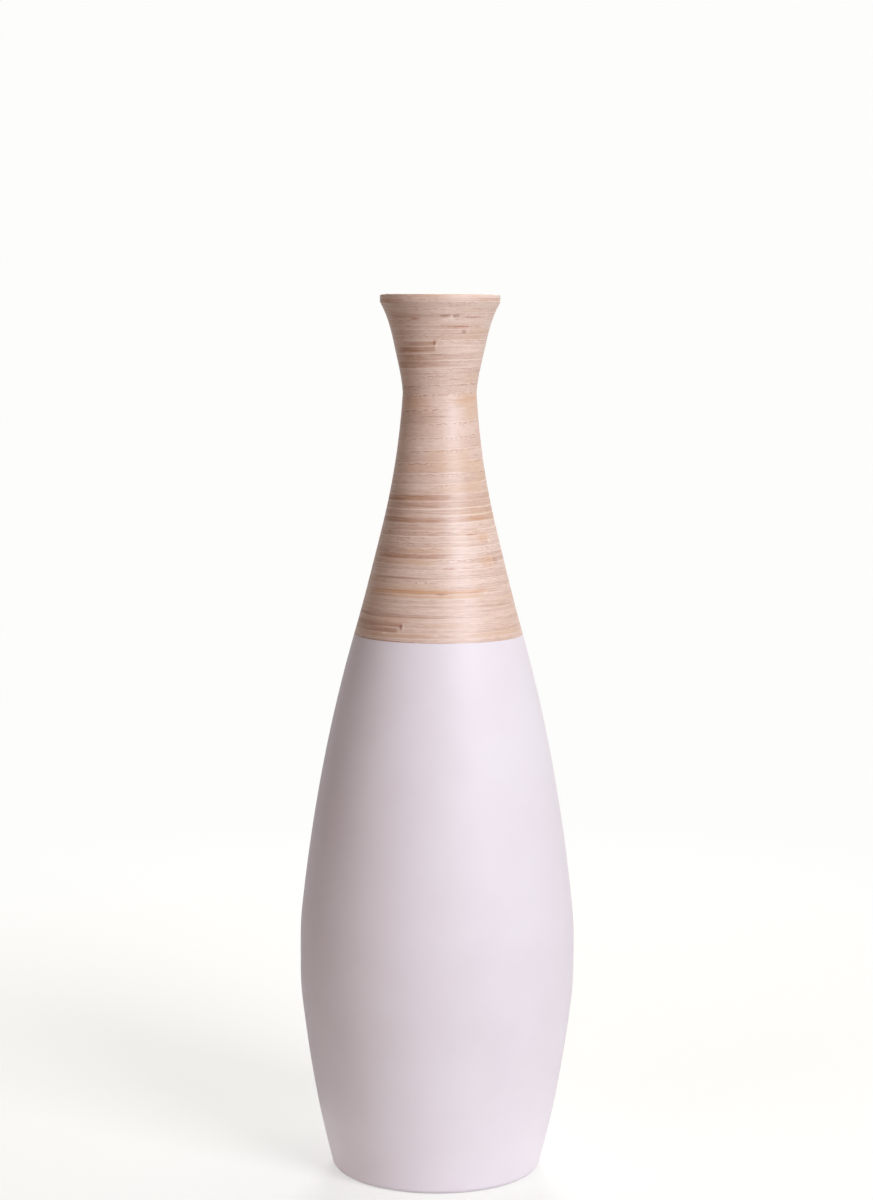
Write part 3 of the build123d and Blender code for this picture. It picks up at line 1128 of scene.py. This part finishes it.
# World: the plain backdrop where it is seen, and otherwise a dim room with some light from behind
BACKDROP = colour(253, 253, 251)
DIM_ROOM = (0.02, 0.02, 0.02, 1.0)
LIGHT_FROM_BEHIND = (0.2, 0.19, 0.21, 1.0)
BEHIND = -0.2, 0.6


def seen_directly(shader):
    """1 for rays from the camera and for reflected and refracted ones, which see the plain backdrop."""
    paths = shader.add("LightPath").outputs
    gloss = shader.math("MAXIMUM", paths["Is Glossy Ray"], paths["Is Transmission Ray"])
    return shader.math("MAXIMUM", paths["Is Camera Ray"], gloss)


world = bpy.data.worlds.new("studio")
bpy.context.scene.world = world
world_shader = Shader(world)
direction = world_shader.add("SeparateXYZ")
world_shader.plug(direction.inputs[0], world_shader.add("TexCoord").outputs["Generated"])
ambient = world_shader.mix(world_shader.ease(direction.outputs["Y"], *BEHIND), DIM_ROOM, LIGHT_FROM_BEHIND)
world_colour = world_shader.mix(seen_directly(world_shader), ambient, BACKDROP)
world_shader.plug(world_shader.surface.inputs["Color"], world_colour)


# Floor: pale under the vase, where it keeps the shadow, and as white as the backdrop further off. It throws
# less light back on the vase than its colour would.
FLOOR_HALF = 12.0
FLOOR_NEAR = 0.35
FLOOR_FAR = 1.8
FLOOR_FADE = 0.55
FLOOR_LIFT = 0.57
FLOOR_DIM = (0.14, 0.12, 0.11, 1.0)
BOUNCE_FAR = 0.9
BOUNCE_LOSS = 0.22
BLACK = (0.0, 0.0, 0.0, 1.0)

floor_mesh = bpy.data.meshes.new("floor")
floor_corners = [(-1, -1), (1, -1), (1, 1), (-1, 1)]
floor_mesh.from_pydata([(x * FLOOR_HALF, y * FLOOR_HALF, 0) for x, y in floor_corners], [], [(0, 1, 2, 3)])
floor = bpy.data.objects.new("floor", floor_mesh)
bpy.context.scene.collection.objects.link(floor)
floor_shader = Shader(bpy.data.materials.new("pale_floor"))
length = floor_shader.add("VectorMath", operation="LENGTH")
floor_shader.plug(length.inputs[0], floor_shader.add("TexCoord").outputs["Object"])
distance = length.outputs["Value"]
seen = seen_directly(floor_shader)
unseen = floor_shader.math("SUBTRACT", 1.0, seen)
fade = floor_shader.ease(distance, FLOOR_NEAR, FLOOR_FAR, FLOOR_FADE)
lift = floor_shader.ease(distance, FLOOR_NEAR, FLOOR_FAR, FLOOR_LIFT)
loss = floor_shader.ease(distance, 0.0, BOUNCE_FAR, BOUNCE_LOSS)
bounced = floor_shader.mix(floor_shader.math("MULTIPLY", unseen, loss), BACKDROP, FLOOR_DIM)
floor_colour = floor_shader.mix(floor_shader.math("MULTIPLY", seen, fade), bounced, BLACK)
floor_inputs = floor_shader.surface.inputs
floor_shader.plug(floor_inputs["Base Color"], floor_colour)
floor_inputs["Roughness"].default_value = 1.0
floor_inputs["Specular IOR Level"].default_value = 0.0
floor_inputs["Emission Color"].default_value = BACKDROP
floor_shader.plug(floor_inputs["Emission Strength"], floor_shader.math("MULTIPLY", seen, lift))
floor_mesh.materials.append(floor_shader.material)


# Dark screen round the left side, on the floor and upright, that shows in the gloss alone: without it the
# white backdrop would veil the colours there. Its ends are in degrees from the front.
SCREEN_NEAR = 0.2
SCREEN_RADIUS = 1.3
SCREEN_LIFT = 1.0 * MM
SCREEN_HEIGHT = 2.2
SCREEN_ENDS = -18, -138
SCREEN_PANELS = 12
SCREEN_COLOUR = (0.02, 0.02, 0.02, 1.0)

screen_radii = np.array([SCREEN_NEAR, SCREEN_RADIUS, SCREEN_RADIUS])
screen_heights = np.array([SCREEN_LIFT, SCREEN_LIFT, SCREEN_HEIGHT])
screen_turns = np.linspace(*SCREEN_ENDS, SCREEN_PANELS + 1) / TURN_DEGREES
screen_points = round_places(screen_radii, screen_turns[:, None], screen_heights)
rows = len(screen_radii)
screen_faces = []
for panel in range(SCREEN_PANELS):
    for corner in range(panel * rows, (panel + 1) * rows - 1):
        screen_faces.append((corner, corner + rows, corner + rows + 1, corner + 1))
screen_mesh = bpy.data.meshes.new("screen")
screen_mesh.from_pydata(screen_points.tolist(), [], screen_faces)
screen = bpy.data.objects.new("screen", screen_mesh)
bpy.context.scene.collection.objects.link(screen)
screen.visible_camera = False
screen.visible_diffuse = False
screen.visible_shadow = False
screen_shader = Shader(bpy.data.materials.new("dark_cloth"))
screen_shader.surface.inputs["Base Color"].default_value = SCREEN_COLOUR
screen_shader.surface.inputs["Roughness"].default_value = 1.0
screen_mesh.materials.append(screen_shader.material)

bpy.context.scene.view_settings.view_transform = "Standard"
